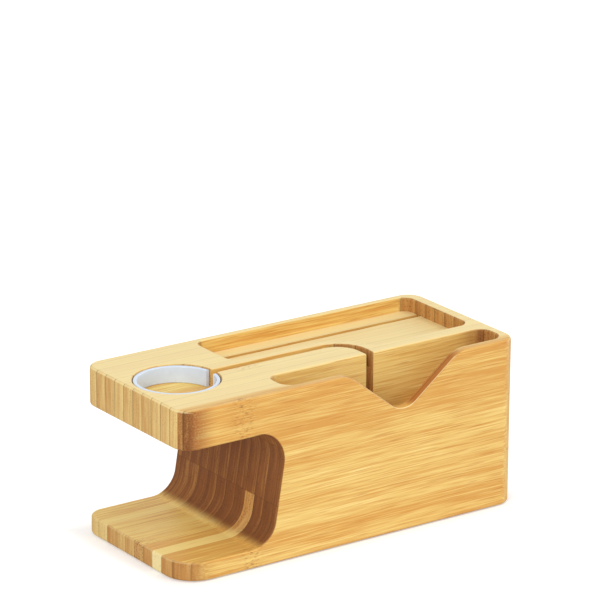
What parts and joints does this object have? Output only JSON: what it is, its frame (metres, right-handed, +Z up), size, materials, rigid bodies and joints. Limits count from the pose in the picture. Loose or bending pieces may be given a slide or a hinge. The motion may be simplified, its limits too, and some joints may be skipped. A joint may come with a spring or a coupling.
{
  "type": "charging stand",
  "caption": "Bamboo block stand with an upright slot and notched front wall, a round lined pocket on an overhanging arm, a lead groove and a shallow tray.",
  "frame": {"origin": "centre of the stand's plan, on the plane that the foot pads rest on", "axes": "+X along the stand, away from the arm's open end; +Y from the notched front face to the back; +Z up"},
  "size_m": [0.135, 0.06, 0.0594],
  "materials": {
    "bamboo": "satin oiled bamboo with fibre lines",
    "liner": "glossy white",
    "rubber": "matt black"
  },
  "bodies": {
    "root": {"bottom_lath_01": "bamboo", "bottom_lath_02": "bamboo", "bottom_lath_03_left": "bamboo", "bottom_lath_03_right": "bamboo", "bottom_lath_04": "bamboo", "bottom_lath_05": "bamboo", "bottom_lath_06": "bamboo", "bottom_lath_07": "bamboo", "bottom_lath_08": "bamboo", "bottom_lath_09": "bamboo", "bottom_lath_10": "bamboo", "bottom_lath_11": "bamboo", "bottom_lath_12": "bamboo", "middle_lath_01": "bamboo", "middle_lath_02": "bamboo", "middle_lath_03_left": "bamboo", "middle_lath_03_right": "bamboo", "middle_lath_04": "bamboo", "middle_lath_05": "bamboo", "middle_lath_06": "bamboo", "middle_lath_07": "bamboo", "middle_lath_08": "bamboo", "middle_lath_09": "bamboo", "middle_lath_10": "bamboo", "middle_lath_11": "bamboo", "middle_lath_12": "bamboo", "top_lath_01": "bamboo", "top_lath_02": "bamboo", "top_lath_03_left": "bamboo", "top_lath_03_right": "bamboo", "top_lath_04": "bamboo", "top_lath_05": "bamboo", "top_lath_06": "bamboo", "top_lath_07": "bamboo", "top_lath_08": "bamboo", "top_lath_09": "bamboo", "top_lath_10": "bamboo", "top_lath_11": "bamboo", "top_lath_12": "bamboo", "pocket_liner_ring": "liner", "foot_pad_front_left": "rubber", "foot_pad_back_left": "rubber", "foot_pad_back_right": "rubber", "foot_pad_front_right": "rubber"}
  },
  "joints": []
}
